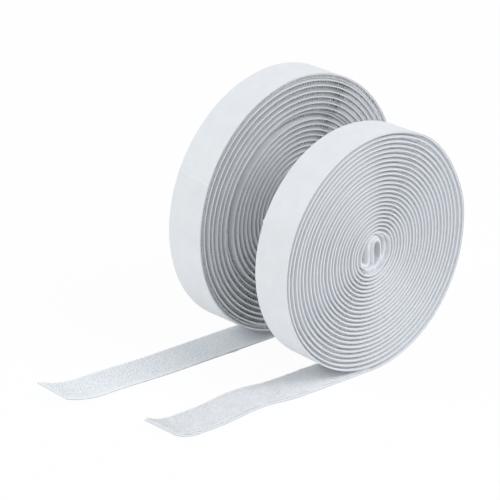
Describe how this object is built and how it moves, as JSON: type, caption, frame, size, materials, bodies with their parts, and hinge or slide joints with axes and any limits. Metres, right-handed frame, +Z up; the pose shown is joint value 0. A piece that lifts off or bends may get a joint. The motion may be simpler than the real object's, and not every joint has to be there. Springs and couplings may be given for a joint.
{
  "type": "hook and loop tape rolls",
  "caption": "Pair of self-adhesive hook and loop fastening tapes, each wound into a coreless spiral roll on edge with its free end laid out flat.",
  "frame": {"origin": "on the surface the rolls stand on, in the middle of the rectangle that the pair covers", "axes": "+Z up; the rolls' axes run along Y, with the loop roll towards -Y and the hook roll towards +Y; the free ends run out towards -X"},
  "size_m": [0.1968, 0.0772, 0.1217],
  "materials": {
    "release_liner": "smooth, faintly waxy release film",
    "adhesive": "clear tacky coat",
    "loop_cloth": "woven nylon",
    "loop_pile": "brushed loop pile",
    "hook_cloth": "woven nylon",
    "hooks": "stiff nylon hooks in rows"
  },
  "bodies": {
    "hook_roll": {"hook_tape_coil": "hook_cloth", "hook_adhesive_wrap": "adhesive", "hook_liner_wrap": "release_liner", "hook_liner_tail": "release_liner", "hook_adhesive_tail": "adhesive", "hook_ground_tail": "hook_cloth", "hook_rows_tail": "hooks"},
    "loop_roll": {"loop_tape_coil": "loop_cloth", "loop_adhesive_wrap": "adhesive", "loop_liner_wrap": "release_liner", "loop_liner_tail": "release_liner", "loop_adhesive_tail": "adhesive", "loop_ground_tail": "loop_cloth", "loop_pile_tail": "loop_pile"}
  },
  "joints": [
    {"name": "loop_roll_lift", "type": "slide", "parent": "hook_roll", "child": "loop_roll", "axis": [0, 0, 1], "range_m": [0, 0.13]}
  ]
}
